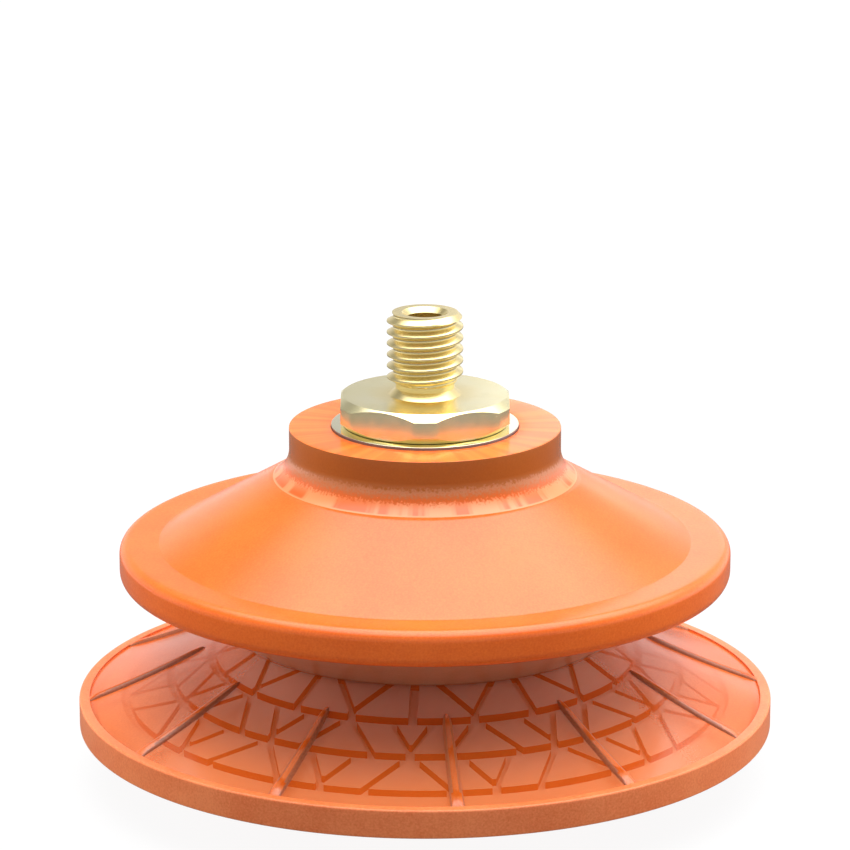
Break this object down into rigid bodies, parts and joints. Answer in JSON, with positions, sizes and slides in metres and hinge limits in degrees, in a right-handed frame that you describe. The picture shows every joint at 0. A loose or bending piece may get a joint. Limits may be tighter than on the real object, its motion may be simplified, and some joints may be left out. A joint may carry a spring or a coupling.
{
  "type": "vacuum suction cup",
  "caption": "Bellows vacuum suction cup in orange polyurethane with a treaded lip, clamped to a hollow threaded brass stud.",
  "frame": {"origin": "centre of the lip's sealing plane, on the cup's axis", "axes": "+Z along the axis from the sealing plane up to the threaded stud; a corner of the hexagon points to -Y and two of its flats face +X and -X"},
  "size_m": [0.092, 0.092, 0.0553],
  "materials": {
    "brass": "turned, bright",
    "polyurethane": "glossy, slightly translucent orange polyurethane",
    "seal_rubber": "satin black",
    "insert_alloy": "turned, satin",
    "filter_steel": "woven stainless wire and plain spring steel"
  },
  "bodies": {
    "fitting": {"threaded_stud": "brass", "support_washer": "brass", "spigot_seal_ring": "seal_rubber", "clamp_insert": "insert_alloy", "filter_mesh": "filter_steel", "filter_retaining_ring": "filter_steel", "cup_collar": "polyurethane", "collar_shoulder": "polyurethane"},
    "shoulder": {"cone_root": "polyurethane", "upper_cone": "polyurethane"},
    "fold": {"fold_rim": "polyurethane", "under_cone": "polyurethane"},
    "waist": {"waist_ring": "polyurethane"},
    "lip": {"lip_web": "polyurethane", "lip_ribs": "polyurethane", "inner_tread": "polyurethane", "middle_tread": "polyurethane", "outer_tread": "polyurethane", "lip_border": "polyurethane"}
  },
  "joints": [
    {"name": "tilt_side", "type": "hinge", "parent": "fitting", "child": "shoulder", "pos_m": [0, 0, 0.0345], "axis": [0, 1, 0], "range_deg": [-6, 6], "stiffness_Nm_per_rad": 3, "deforming": ["collar_shoulder"]},
    {"name": "bellows_stroke", "type": "slide", "parent": "shoulder", "child": "fold", "axis": [0, 0, 1], "range_m": [0, 0.0075], "stiffness_N_per_m": 1500, "deforming": ["upper_cone"]},
    {"name": "tilt_forward", "type": "hinge", "parent": "fold", "child": "waist", "pos_m": [0, 0, 0.0145], "axis": [1, 0, 0], "range_deg": [-6, 6], "stiffness_Nm_per_rad": 3, "deforming": ["under_cone"]},
    {"name": "lip_flatten", "type": "slide", "parent": "waist", "child": "lip", "axis": [0, 0, 1], "range_m": [0, 0.003], "stiffness_N_per_m": 1500, "deforming": ["lip_web", "lip_ribs", "inner_tread", "middle_tread", "outer_tread"]}
  ]
}
